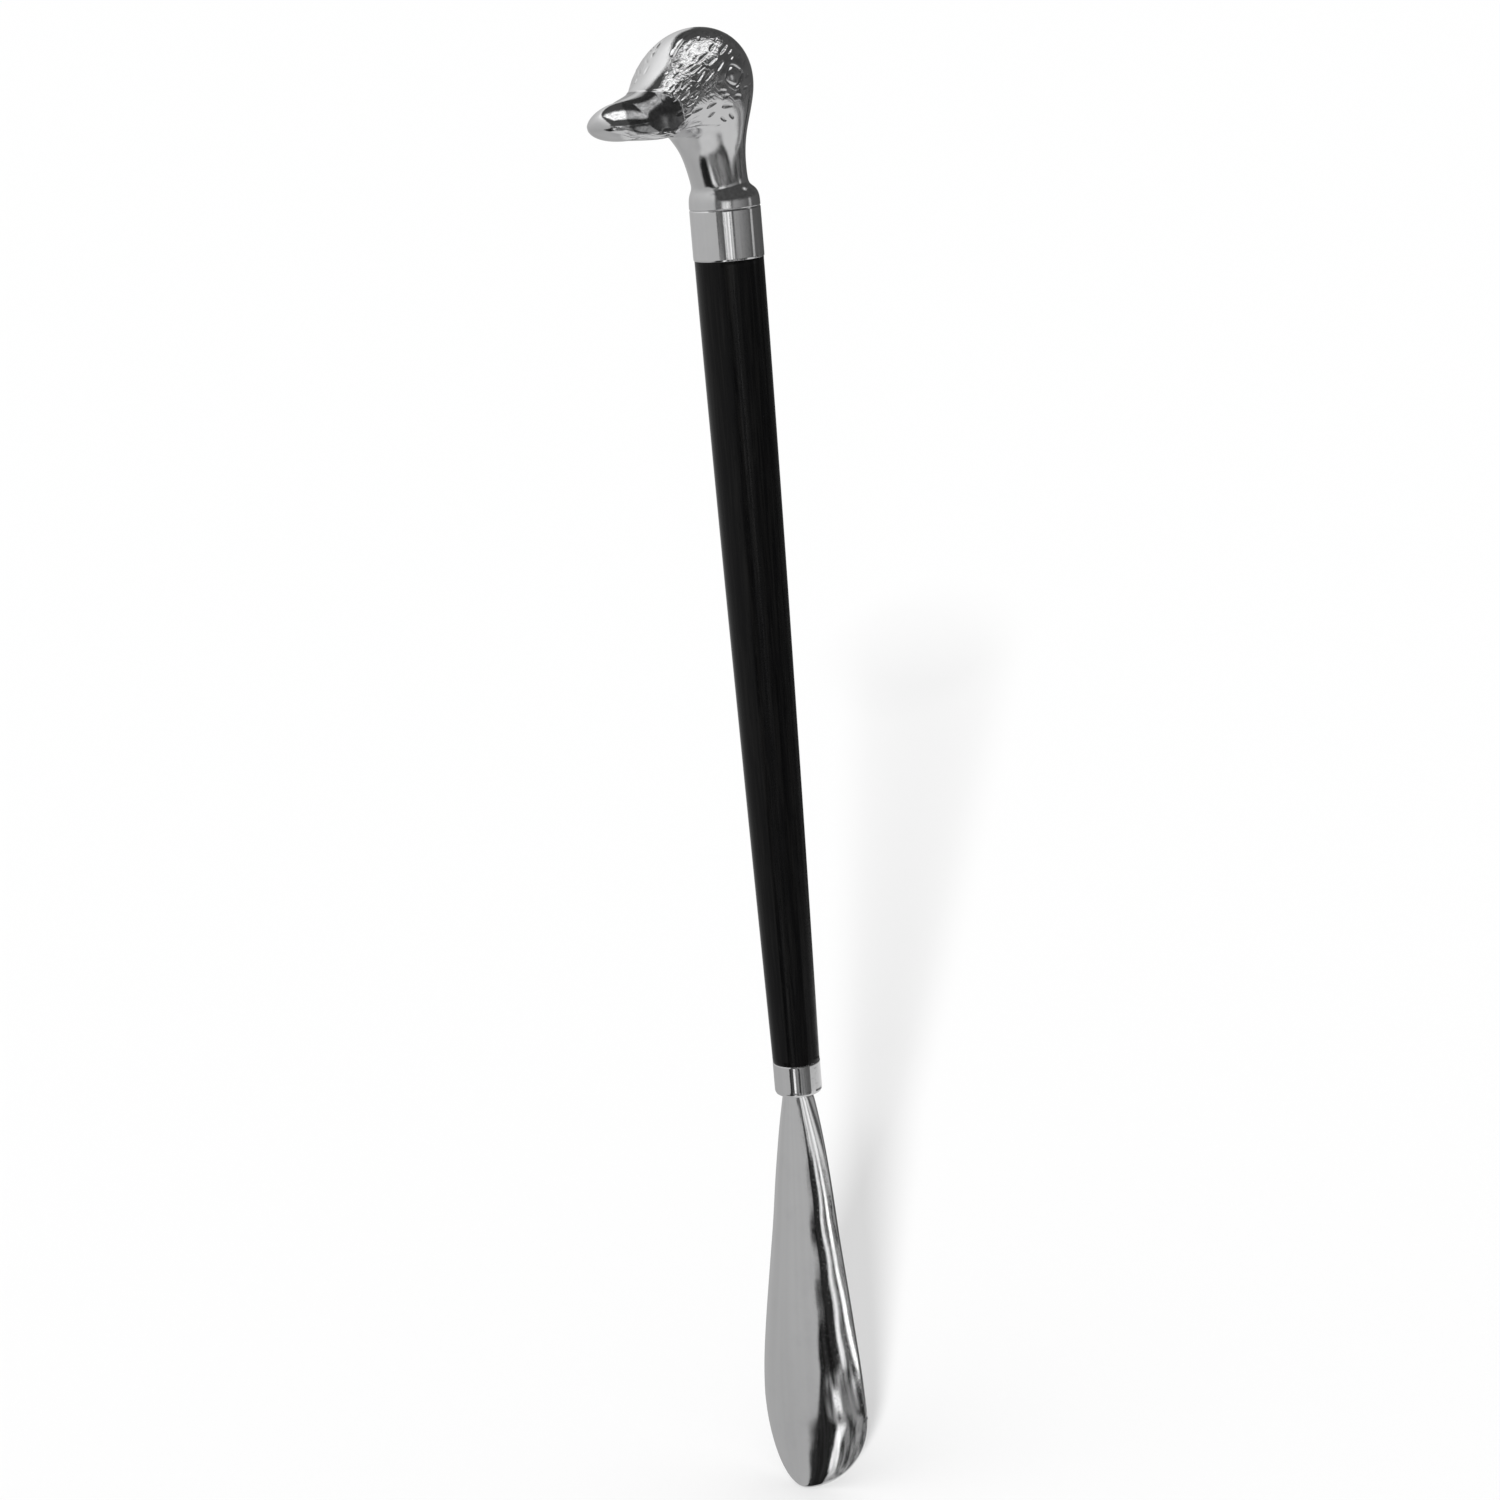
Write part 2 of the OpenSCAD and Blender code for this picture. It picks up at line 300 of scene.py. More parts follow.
def turned_steel(name, tint):
    """Plain machined steel with fine turning rings, for the hidden fasteners and the plug."""
    mat = bpy.data.materials.new(name)
    mat.use_nodes = True
    N = Nodes(mat.node_tree)
    co = N.add("ShaderNodeTexCoord").outputs["Object"]
    rings = N.add("ShaderNodeTexWave", {"Vector": co, "Scale": 900.0, "Distortion": 1.5, "Detail": 2.0},
                  wave_type="BANDS", bands_direction="Z").outputs["Fac"]
    cloud = noise(N, co, 260.0, 4.0, 0.6)
    r = N.m("MULTIPLY_ADD", cloud, 0.25, 0.22)
    r = N.m("MULTIPLY_ADD", rings, 0.08, r)
    a = N.add("ShaderNodeMix", {0: N.step(cloud, 0.3, 0.7), 6: (*tint, 1), 7: (tint[0] * 0.7, tint[1] * 0.7, tint[2] * 0.72, 1)}, data_type="RGBA")
    bump = N.add("ShaderNodeBump", {"Strength": 0.5, "Distance": 0.00005, "Height": rings}).outputs[0]
    s = N.add("ShaderNodeBsdfPrincipled", {"Base Color": a.outputs[2], "Metallic": 1.0, "Roughness": r, "Normal": bump})
    out = N.add("ShaderNodeOutputMaterial")
    mat.node_tree.links.new(s.outputs[0], out.inputs[0])
    return mat


def black_wood(name):
    """Ebonised wood under thin satin lacquer: long fine grain, short pores, faint rub marks."""
    mat = bpy.data.materials.new(name)
    mat.use_nodes = True
    N = Nodes(mat.node_tree)
    co = N.add("ShaderNodeTexCoord").outputs["Object"]
    long_ = N.add("ShaderNodeMapping", {"Vector": co, "Scale": (1, 1, 0.035)}).outputs[0]
    short = N.add("ShaderNodeMapping", {"Vector": co, "Scale": (1, 1, 0.10)}).outputs[0]
    grain = noise(N, long_, 900.0, 5.0, 0.65, 0.3)
    pores = N.step(noise(N, short, 2600.0, 3.0, 0.6), 0.60, 0.72)
    cloud = noise(N, co, 120.0, 3.0, 0.55)
    lines = N.step(grain, 0.42, 0.66)
    a = N.add("ShaderNodeMix", {0: lines, 6: (0.0012, 0.0012, 0.0013, 1), 7: (0.0034, 0.0033, 0.0032, 1)}, data_type="RGBA")
    a = N.add("ShaderNodeMix", {0: N.m("MULTIPLY", pores, 0.7), 6: a.outputs[2], 7: (0.0006, 0.0006, 0.0007, 1)}, data_type="RGBA")
    r = N.m("MULTIPLY_ADD", grain, 0.08, 0.10)
    r = N.m("MULTIPLY_ADD", N.step(cloud, 0.4, 0.75), 0.07, r)
    r = N.m("MULTIPLY_ADD", pores, 0.20, r)
    h = N.m("MULTIPLY_ADD", grain, 0.8, N.m("MULTIPLY", pores, -1.0))
    bump = N.add("ShaderNodeBump", {"Strength": 0.35, "Distance": 0.00004, "Height": h}).outputs[0]
    s = N.add("ShaderNodeBsdfPrincipled", {"Base Color": a.outputs[2], "Roughness": r, "Normal": bump,
                                           "IOR": 1.27, "Coat Weight": 0.0})
    out = N.add("ShaderNodeOutputMaterial")
    mat.node_tree.links.new(s.outputs[0], out.inputs[0])
    return mat


M_HEAD = chrome("cast_chrome", rough=0.03, grain=1.3, patina=True, waves=0.5)
M_COLLAR = chrome("turned_chrome", tint=(0.84, 0.84, 0.845), rough=0.018, grain=0.4, long_axis=(1, 1, 0.15))
M_BLADE = chrome("rolled_chrome", tint=(0.84, 0.84, 0.845), rough=0.011, grain=0.4, long_axis=(1, 1, 0.2), waves=1.1)
M_PLUG = turned_steel("plug_metal", (0.62, 0.62, 0.63))
M_STUD = turned_steel("stud_steel", (0.52, 0.52, 0.53))
M_WOOD = black_wood("black_wood")

# ------------------------------------------------------------------ levels from the frame
collar_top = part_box("upper_collar")[1].z / MM
collar_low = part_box("upper_collar")[0].z / MM
fer_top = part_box("lower_collar")[1].z / MM
fer_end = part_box("lower_collar")[0].z / MM
blade_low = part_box("blade")[0].z / MM
R_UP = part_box("upper_collar")[1].x / MM
R_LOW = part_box("lower_collar")[1].x / MM

# ------------------------------------------------------------------ the head
HEAD = [
    [11.0, 0.0, -11.0, 0.0, 11.0, 0.50, 2.0, 2.0],
    [10.8, 3.5, -10.8, 3.5, 10.8, 0.50, 2.0, 2.0],
    [10.3, 5.4, -9.6, 5.6, 9.9, 0.50, 2.0, 2.0],
    [10.2, 6.8, -7.8, 6.8, 9.0, 0.50, 2.0, 2.0],
    [10.8, 9.0, -7.2, 9.2, 8.8, 0.50, 2.0, 2.0],
    [12.2, 13.5, -6.8, 14.5, 9.2, 0.50, 2.0, 2.0],
    [14.0, 17.5, -7.2, 20.0, 10.0, 0.50, 2.0, 2.0],
    [15.8, 20.0, -8.2, 26.0, 11.4, 0.50, 2.0, 2.0],
    [17.4, 21.6, -10.4, 33.5, 12.8, 0.50, 2.0, 2.0],
    [18.8, 22.5, -11.2, 41.0, 14.0, 0.50, 2.0, 2.0],
    [20.2, 23.0, -8.6, 48.0, 14.8, 0.50, 2.0, 2.0],
    [21.6, 23.3, -2.4, 53.0, 15.0, 0.50, 2.0, 2.0],
    [23.2, 23.5, 6.4, 55.0, 15.0, 0.48, 2.0, 2.0],
    [25.2, 23.7, 15.4, 53.6, 14.8, 0.46, 2.0, 2.0],
    [27.4, 23.8, 22.2, 49.0, 13.8, 0.44, 2.0, 2.0],
    [29.8, 23.8, 27.2, 43.4, 12.0, 0.33, 2.2, 2.3],
    [32.6, 23.8, 32.4, 39.4, 10.5, 0.19, 2.8, 2.7],
    [37.0, 24.0, 37.4, 37.4, 9.8, 0.16, 3.2, 2.7],
    [43.0, 24.6, 43.4, 36.2, 9.9, 0.44, 1.6, 2.2],
]
NOSE = 11.6
COLS, RINGS = 270, 304
NOSE_RINGS = 44


def by_density(stops, n):
    """n+1 positions from first to last stop, crowded where the (position, density) is high."""
    x = np.linspace(stops[0][0], stops[-1][0], 4001)
    d = np.interp(x, [s[0] for s in stops], [s[1] for s in stops])
    c = np.concatenate([[0], np.cumsum((d[1:] + d[:-1]) / 2)])
    return np.interp(np.linspace(0, c[-1], n + 1), c, x)


ts = by_density([(0, 7.5), (4, 7.0), (7, 9), (8.5, 20), (12, 25), (15.4, 25), (16.2, 20), (18, 19)], RINGS)
th = by_density([(0, 0.55), (22, 0.7), (35, 1.25), (60, 1.35), (120, 1.3), (140, 1.0), (160, 0.6), (180, 0.5)], COLS // 2)
th = np.radians(np.concatenate([th, 360 - th[-2:0:-1]]))
fine_t = np.linspace(0, len(HEAD) - 1, 1801)
rows = spline(HEAD, fine_t)
soft = gauss(rows, 34.0)                      # about a third of a row
keep = smooth01(fine_t, 0.3, 1.6)[:, None]    # the foot keeps its flat side
rows = rows * (1 - keep) + soft * keep
rows = np.stack([np.interp(ts, fine_t, rows[:, j]) for j in range(8)], 1)


def slices(st):
    """Points of many slices at once: st is rows x 8, result rows x columns x 3."""
    I, O, W, m, po, pi = st[:, 0:2], st[:, 2:4], st[:, 4], st[:, 5], st[:, 6], st[:, 7]
    d = O - I
    L = np.linalg.norm(d, axis=1)
    e = d / L[:, None]
    c, q = np.cos(th)[None], np.sin(th)[None]
    p = np.where(c > 0, po[:, None], pi[:, None])
    b = np.where(c > 0, ((1 - m) * L)[:, None], (m * L)[:, None])
    h = (m * L)[:, None] + b * np.sign(c) * np.abs(c) ** (2 / p)
    w = W[:, None] * np.sign(q) * np.abs(q) ** (2 / p)
    return np.stack([I[:, :1] + e[:, :1] * h, w, I[:, 1:] + e[:, 1:] * h], 2)


last = rows[-1]
e_l = (last[2:4] - last[0:2])
L_l = np.linalg.norm(e_l)
e_l = e_l / L_l
f_l = np.array([e_l[1], -e_l[0]])
c_l = (last[0:2] + last[2:4]) / 2
nose_rows = []
for j in range(1, NOSE_RINGS):
    a = math.pi / 2 * j / NOSE_RINGS
    k = math.cos(a) ** 0.85
    o = c_l + f_l * NOSE * math.sin(a)
    st = last.copy()
    st[0:2], st[2:4], st[4] = o - e_l * L_l / 2 * k, o + e_l * L_l / 2 * k, last[4] * k
    nose_rows.append(st)
grid = slices(np.vstack([rows, nose_rows]))   # rings x columns x 3
tip = np.array([c_l[0] + f_l[0] * NOSE, 0.0, c_l[1] + f_l[1] * NOSE])


def grid_normals(G):
    du = np.empty_like(G)
    du[1:-1] = G[2:] - G[:-2]
    du[0], du[-1] = G[1] - G[0], G[-1] - G[-2]
    dv = np.roll(G, -1, 1) - np.roll(G, 1, 1)
    n = np.cross(dv, du)
    n /= np.linalg.norm(n, axis=2, keepdims=True) + 1e-12
    out = G - G.mean(axis=1, keepdims=True)
    return n * np.sign((n * out).sum())


nrm = grid_normals(grid)
P = grid.reshape(-1, 3)
Nn = nrm.reshape(-1, 3)
raise_ = np.zeros(len(P))       # how far each point moves out along its normal, mm
recess = np.zeros(len(P))       # 0 clean .. 1 dark engraved line


def snap(points, side, step=0.12):
    """A line through (x, |y|, z) points as close-spaced points that lie on the head."""
    pts = np.array([(x, side * y, z) for x, y, z in points], float)
    seg = np.linalg.norm(np.diff(pts, axis=0), axis=1)
    s = np.concatenate([[0], np.cumsum(seg)])
    fine = np.linspace(0, s[-1], max(3, int(s[-1] / step)))
    if len(pts) > 2:
        M = spline(pts, np.interp(fine, s, np.arange(len(pts))))
    else:
        M = np.stack([np.interp(fine, s, pts[:, j]) for j in range(3)], 1)
    near = np.where((P[:, 1] * side > -1.0)
                    & (P[:, 0] > M[:, 0].min() - 4) & (P[:, 0] < M[:, 0].max() + 4)
                    & (P[:, 2] > M[:, 2].min() - 4) & (P[:, 2] < M[:, 2].max() + 4))[0]
    # nearest point of the surface in the side view counts double, so the drawn height holds
    A = P[near] * np.array([1.6, 0.8, 1.6])
    out = []
    for q in M:
        k = near[np.argmin(((A - q * np.array([1.6, 0.8, 1.6])) ** 2).sum(1))]
        out.append(q + Nn[k] * ((P[k] - q) @ Nn[k]))
    return gauss(np.array(out), 3.0)


def along(line, width, depth, taper=1.2, dark=1.0):
    """Cuts a round-bottomed groove along a line, or raises a bead if depth is negative."""
    lo, hi = line.min(0) - width * 1.5, line.max(0) + width * 1.5
    near = np.where(((P > lo) & (P < hi)).all(1))[0]
    if not len(near):
        return
    s = np.concatenate([[0], np.cumsum(np.linalg.norm(np.diff(line, axis=0), axis=1))])
    D = np.empty(len(near))
    K = np.empty(len(near), int)
    for a in range(0, len(near), 4000):
        d = ((P[near[a:a + 4000], None] - line[None]) ** 2).sum(2)
        K[a:a + 4000] = d.argmin(1)
        D[a:a + 4000] = np.sqrt(d.min(1))
    ends = np.minimum(s[K], s[-1] - s[K])
    shape = np.exp(-(D / (width * 0.5)) ** 2 * 1.6) * smooth01(ends, -0.05, taper)
    raise_[near] -= depth * shape
    if dark:
        recess[near] = np.maximum(recess[near], dark * shape)


def stroke(x, y, z, length, angle, side, width=1.0, depth=0.3, bend=0.0, dark=1.0):
    """One feather mark: a short pointed cut that lies back along the head."""
    q = np.array([x, side * y, z])
    near = np.where((np.abs(P[:, 0] - x) < 6) & (np.abs(P[:, 2] - z) < 6) & (P[:, 1] * side > 0))[0]
    if not len(near):
        return
    k = near[np.argmin(((P[near] - q) ** 2 * np.array([1, 0.25, 1])).sum(1))]
    n, c = Nn[k], P[k]
    a = math.radians(angle)
    t = np.array([-math.cos(a), 0.0, math.sin(a)])
    if abs(n[1]) > 0.25:
        t[1] = -(t[0] * n[0] + t[2] * n[2]) / n[1]
    else:
        t = t - n * (t @ n)
    t /= np.linalg.norm(t)
    b = np.cross(n, t)
    rel = P[near] - c
    u = rel @ t / (length / 2)
    v = rel @ b - bend * (1 - u * u)
    half = width / 2 * np.sqrt(np.clip(1 - u * u, 0, 1)) * (1 - 0.25 * u) + 1e-6
    ok = (np.abs(u) < 1) & (np.abs(rel @ n) < 2.5)
    f = np.where(ok, np.clip(1 - (v / (half * 1.25)) ** 2, 0, 1) ** 1.2 * np.clip(1 - u * u, 0, 1) ** 0.35, 0)
    raise_[near] -= depth * f
    # the metal pushed up along the lower lip of the cut
    lip = np.where(ok, np.exp(-((v + half * 1.5) / (0.32 * width)) ** 2) * np.clip(1 - u * u, 0, 1), 0)
    raise_[near] += 0.16 * depth * lip
    recess[near] = np.maximum(recess[near], dark * np.clip(f * 1.1 - 0.1, 0, 1))


MARKS = [
    (19.2, 4.2, 50.8, 4.2, 38), (21.9, 3.9, 48.7, 3.1, 42), (18.9, 7.3, 49.9, 3.7, 34), (22.4, 11.9, 43.2, 3.3, 27),
    (18.5, 11.9, 46.2, 4.6, 28), (16.0, 13.5, 45.0, 4.2, 22), (13.6, 14.3, 43.3, 4.6, 32), (9.2, 12.2, 48.0, 5.6, 21),
    (13.1, 11.3, 49.0, 4.2, 26), (22.1, 13.4, 41.2, 3.8, 42), (19.1, 14.4, 41.1, 4.9, 31), (26.3, 11.0, 39.4, 3.9, 39),
    (28.1, 9.4, 38.7, 2.8, 42), (27.8, 11.7, 36.0, 3.4, 36), (25.0, 13.7, 35.7, 2.4, 37), (27.0, 12.8, 33.5, 2.6, 23),
    (24.6, 13.2, 31.4, 4.1, 12), (18.3, 13.7, 32.4, 4.0, 16), (14.4, 14.8, 35.8, 3.3, 1), (12.5, 14.5, 34.3, 2.4, 6),
    (7.2, 14.6, 33.7, 3.0, 0), (22.4, 9.9, 27.2, 3.8, 5), (17.2, 12.1, 29.4, 2.4, 31), (11.6, 13.8, 31.2, 3.8, -4),
    (12.0, 12.2, 27.5, 2.7, -32), (8.8, 13.0, 28.3, 2.7, -39),
]
mk = np.array(MARKS)
surf_side = {s: np.where(P[:, 1] * s > 2)[0] for s in (1, -1)}


def at_side(x, z, side):
    """|y| of the head's outer side at (x, z), or None off the head."""
    idx = surf_side[side]
    d = (P[idx, 0] - x) ** 2 + (P[idx, 2] - z) ** 2
    k = np.argmin(d)
    return abs(P[idx[k], 1]) if d[k] < 0.35 else None


def lie(x, z):
    """Which way the feathers lie at (x, z): the angle they rise backwards."""
    w = 1 / (((mk[:, 0] - x) ** 2 + (mk[:, 2] - z) ** 2) + 3.0) ** 1.5
    return float((w * mk[:, 4]).sum() / w.sum())


EYE = np.array([8.0, 14.9, 39.8])
for side in (1, -1):
    placed = [(m[0], m[2], m[3]) for m in MARKS]
    for x, y, z, ln, an in MARKS:
        stroke(x, y, z, ln * 1.15, an, side, width=1.1, depth=0.38, bend=0.15)
    # fine plumage between the deeper marks
    tries = 0
    while tries < 2200:
        tries += 1
        x, z = RNG.uniform(-1.0, 31.0), RNG.uniform(28.0, 53.5)
        front = smooth01(x, 12, 24) * smooth01(z, 33, 38)
        if z < 30.5 + 0.22 * max(0.0, 22 - x) and x < 24:
            continue
        if RNG.uniform() > 0.25 + 0.75 * front and x < 14:
            continue
        y = at_side(x, z, side)
        if y is None or y < 3.4 or x > 31.0 - 0.25 * abs(z - 36):
            continue
        if ((x - EYE[0]) / 6.6) ** 2 + ((z - EYE[2]) / 5.0) ** 2 < 1:
            continue
        ln = RNG.uniform(2.2, 3.6) if front > 0.5 else RNG.uniform(2.6, 4.0)
        gap = 1.15 if front > 0.5 else 2.1
        a = math.radians(lie(x, z))
        clash_ = False
        for px, pz, pl in placed:
            dx, dz = x - px, z - pz
            u, v = -dx * math.cos(a) + dz * math.sin(a), dx * math.sin(a) + dz * math.cos(a)
            if abs(v) < gap * 0.72 and abs(u) < (ln + pl) * 0.5 + 0.25:
                clash_ = True
                break
        if clash_:
            continue
        placed.append((x, z, ln))
        stroke(x, y, z, ln, lie(x, z) + RNG.uniform(-5, 5), side, width=RNG.uniform(0.7, 0.95),
               depth=RNG.uniform(0.17, 0.27), bend=0.08, dark=0.7)
    # bill: base step, crease, rim bead, mouth groove, and a line running back from the mouth along the face
    base = [(34.4, 2.0, 38.4), (32.6, 6.6, 37.6), (31.3, 9.0, 36.8), (30.1, 10.4, 35.3), (29.5, 11.2, 33.0), (29.4, 11.6, 30.5),
            (28.9, 10.6, 28.2), (28.0, 8.9, 26.4)]
    along(snap(base, side), 0.62, 0.20, dark=0.8)
    along(snap([(34.1, 4.9, 37.5), (34.8, 8.1, 34.9), (33.6, 10.3, 31.5)], side), 0.5, 0.12, dark=0.35)
    rim = [(27.0, 8.6, 26.3), (32.0, 8.9, 26.0), (38.0, 8.7, 26.1), (44.3, 8.5, 26.8), (48.9, 8.1, 27.9), (51.4, 7.0, 29.1)]
    along(snap(rim, side), 1.1, -0.42, dark=0.0, taper=3.0)
    mouth = [(25.5, 8.2, 25.3), (27.0, 7.8, 25.2), (31.0, 6.9, 24.9), (36.3, 6.2, 24.7), (41.4, 6.1, 25.1), (47.8, 7.0, 26.4), (51.7, 6.5, 28.0)]
    along(snap(mouth, side), 0.95, 0.60, taper=4.0)
    along(snap([(25.5, 8.4, 25.9), (22.0, 8.9, 25.8), (18.7, 9.4, 25.9), (14.5, 10.6, 25.9), (11.5, 11.6, 26.0)], side), 0.7, 0.16, taper=2.0, dark=0.6)

# the bill is let in a little ahead of its base edge
edge_z = np.array([25.5, 26.3, 28.2, 30.5, 33.0, 35.5, 37.0, 38.2, 38.8])
edge_x = np.array([27.6, 28.0, 28.9, 29.4, 29.4, 30.1, 31.5, 34.0, 35.4])
ahead = P[:, 0] - np.interp(P[:, 2], edge_z, edge_x)
raise_ -= 0.26 * smooth01(ahead, -0.15, 0.45) * smooth01(P[:, 2], 25.6, 27.0) * smooth01(-ahead, -14.0, -3.0)

# eyes: an almond let into the side, its edge cut crisply, with the ball standing in it
for side in (1, -1):
    c = EYE * np.array([1, side, 1])
    near = np.where((np.abs(P[:, 0] - c[0]) < 8) & (np.abs(P[:, 2] - c[2]) < 7) & (P[:, 1] * side > 4))[0]
    k = near[np.argmin(((P[near] - c) ** 2 * np.array([1, 0.2, 1])).sum(1))]
    c, n = P[k], Nn[k]
    t = np.array([1.0, 0.0, -0.14])
    t -= n * (t @ n)
    t /= np.linalg.norm(t)
    b = np.cross(t, n) * side
    if b[2] < 0:
        b = -b
    rel = P[near] - c
    u, v = rel @ t / 4.7, rel @ b
    top, low = 3.2, 2.9
    arch = np.clip(1 - np.abs(u) ** 1.7, 0, 1)
    f = np.where(v > 0, v / (top * arch + 0.05), -v / (low * arch + 0.05))
    f = np.where(np.abs(u) < 1.0, f, 9.0)
    rim_d = (f - 1) * np.where(v > 0, top, low) * np.maximum(arch, 0.25)
    cut = np.exp(-(rim_d / 0.42) ** 2)
    inside = smooth01(-rim_d, -0.1, 0.5)
    ball_r = np.hypot(rel @ t - 0.1, v - 0.05)
    ball = np.clip(1 - (ball_r / 3.0) ** 2, 0, 1)
    raise_[near] += -0.46 * cut - 0.20 * inside + 0.34 * ball
    groove_b = np.exp(-((ball_r - 2.9) / 0.3) ** 2) * inside
    raise_[near] -= 0.03 * groove_b
    lid = np.exp(-((rim_d - 0.75) / 0.42) ** 2) * (np.abs(u) < 1.0)
    raise_[near] += 0.14 * lid
    recess[near] = np.maximum(recess[near], np.maximum(cut, 0.5 * groove_b) * (np.abs(u) < 1.02))

raise_ = np.clip(raise_, -0.62, 0.55)
P2 = P + Nn * raise_[:, None]
G2 = P2.reshape(grid.shape)
# bevel that makes the seam with the collar
ring0 = np.stack([-10.72 * np.cos(th), 10.72 * np.sin(th), np.zeros(len(th))], 1)
ring1 = np.stack([-10.80 * np.cos(th), 10.80 * np.sin(th), np.full(len(th), 0.06)], 1)
ring2 = np.stack([-10.98 * np.cos(th), 10.98 * np.sin(th), np.full(len(th), 0.28)], 1)
G2[0, :, 0], G2[0, :, 1], G2[0, :, 2] = -11.0 * np.cos(th), 11.0 * np.sin(th), 0.42
bore_lo = np.stack([-3.04 * np.cos(th), 3.04 * np.sin(th), np.zeros(len(th))], 1)
bore_hi = bore_lo + np.array([0, 0, 18.0])
stack = np.concatenate([[bore_hi, bore_lo, ring0, ring1, ring2], G2], 0)
V = np.vstack([stack.reshape(-1, 3), [[0, 0, 18.0]], [tip]])
rec = np.concatenate([np.zeros(2 * COLS), np.full(COLS, 0.8), np.full(COLS, 0.6), np.full(COLS, 0.1), recess, [0, 0]])
nr = len(stack)
F = []
for r in range(nr - 1):
    a = r * COLS
    for k in range(COLS):
        k2 = (k + 1) % COLS
        F.append((a + k, a + k2, a + k2 + COLS, a + k + COLS))
cb, ct = nr * COLS, nr * COLS + 1
for k in range(COLS):
    k2 = (k + 1) % COLS
    F.append((k2, k, cb))
    F.append(((nr - 1) * COLS + k, (nr - 1) * COLS + k2, ct))
V[:, 2] += collar_top
F = [f[::-1] for f in F]
plume = (smooth01(P[:, 0], 1.0, 9.0) * smooth01(P[:, 2], 31.0, 35.0) * smooth01(-P[:, 2], -53.5, -50.0) * smooth01(np.abs(P[:, 1]), 3.5, 7.0)
         * smooth01(-ahead, 0.0, 0.8))
for side in (1, -1):
    plume = plume * np.where(P[:, 1] * side > 0, smooth01(np.hypot((P[:, 0] - EYE[0]) / 6.8, (P[:, 2] - EYE[2]) / 5.4), 0.9, 1.4), 1.0)
plume = np.concatenate([np.zeros(5 * COLS), plume, [0, 0]])
ends_at = np.interp(P[:, 2], [26.0, 28.0, 29.4, 31.8, 35.0, 36.5], [46.0, 49.3, 50.4, 50.4, 47.6, 44.0])
# mask of the painted dark reflection on the flat sides of the bill, passed to the material as a point attribute
bill_side_painted_dark = (smooth01(ahead, -0.1, 0.5) * smooth01(ends_at - P[:, 0], 0.0, 0.7) * smooth01(P[:, 2], 26.3, 26.8) * smooth01(np.abs(P[:, 1]), 0.9, 1.8))
bill_side_painted_dark = np.concatenate([np.zeros(5 * COLS), bill_side_painted_dark, [0, 0]])
head = make_mesh("head_casting", V, F, {"recess": rec, "plume": plume, "bill_side_painted_dark": bill_side_painted_dark})
head.data.materials.append(M_HEAD)
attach(head, "root")
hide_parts("duck_head")

# ------------------------------------------------------------------ collars
SEG = 256
out = fillet([(R_UP - 1.0, collar_low, 0.05), (R_UP - 0.1, collar_low, 0.1), (R_UP, collar_low + 0.55, 0.3),
              (R_UP, collar_top - 0.42, 0.25), (R_UP - 0.26, collar_top, 0.1), (R_UP - 1.0, collar_top, 0.05)])
col = lathe("upper_collar_ring", out, SEG, step=1.2)
col.data.materials.append(M_COLLAR)
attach(col, "root")
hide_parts("upper_collar")

out = fillet([(R_LOW - 1.0, fer_end, 0.1), (R_LOW - 0.35, fer_end, 0.3), (R_LOW - 0.02, fer_end + 0.75, 0.6), (R_LOW, fer_end + 1.6, 0.5),
              (R_LOW, fer_top - 0.35, 0.2), (R_LOW - 0.15, fer_top, 0.12), (R_LOW - 1.0, fer_top, 0.05)])
col2 = lathe("lower_collar_ring", out, SEG, step=1.0)
col2.data.materials.append(M_COLLAR)
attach(col2, "root")
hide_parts("lower_collar")

# ------------------------------------------------------------------ shaft
r_top, r_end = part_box("shaft")[1].x / MM, 7.7
shaft_len = collar_low - fer_top
line = [(0.0, collar_top - 24.0), (3.0, collar_top - 24.0), (3.0, collar_top - 0.5), (9.6, collar_top - 0.5), (10.0, collar_top - 0.9),
        (10.0, collar_low + 0.02)]
line[0:2] = [(0.0, collar_low - 24.0), (3.0, collar_low - 24.0)]
body = [(r_top - (r_top - r_end) * (k / 150) ** 1.4, collar_low - shaft_len * k / 150) for k in range(151)]
body[0] = (body[0][0] - 0.12, body[0][1])
body.insert(1, (r_top, collar_low - 0.25))
body[-1] = (body[-1][0] - 0.12, body[-1][1])
body.insert(-1, (r_end, fer_top + 0.25))
low = [(6.75, fer_top - 0.02), (6.75, fer_top - 5.6), (6.35, fer_top - 6.0), (2.0, fer_top - 6.0), (2.0, fer_top + 15.4), (0.0, fer_top + 15.4)]
out = [np.array(p, float) for p in line + body + low]


def unevenness(t, z):
    return 0.014 * math.sin(2 * t + 0.021 * z) * math.sin(0.05 * z) + 0.010 * math.sin(3 * t - 0.033 * z + 1.0) - 0.024


shaft = lathe("shaft_wood", out, 200, wobble=unevenness)
shaft.data.materials.append(M_WOOD)
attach(shaft, "root")
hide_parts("shaft")

# ------------------------------------------------------------------ blade
LEN, TIP_L, HALF_W, DEPTH, THICK, CURL = 136.0, 26.0, 22.0, 10.0, 1.5, 2.2
TANG = 8.0
tang_share = (6.75 - 0.5) / HALF_W
BLADE = [
    [0.00, tang_share, 0.50, 4.8], [0.02, tang_share + 0.03, 0.51, 5.0], [0.07, 0.37, 0.55, 5.6], [0.18, 0.47, 0.61, 6.8],
    [0.32, 0.57, 0.69, 8.4], [0.46, 0.66, 0.77, 10.0], [0.59, 0.76, 0.85, 11.6], [0.73, 0.86, 0.93, 13.2],
    [0.87, 0.95, 0.98, 14.4], [1.00, 1.00, 1.00, 15.0],
]
bt = spline(BLADE, np.linspace(0, len(BLADE) - 1, 900))
ta = np.radians(np.linspace(0, 90, 700))
tc = np.maximum((1 - np.sin(ta) ** 2.1), 0) ** (1 / 2.1)
full = LEN - TIP_L
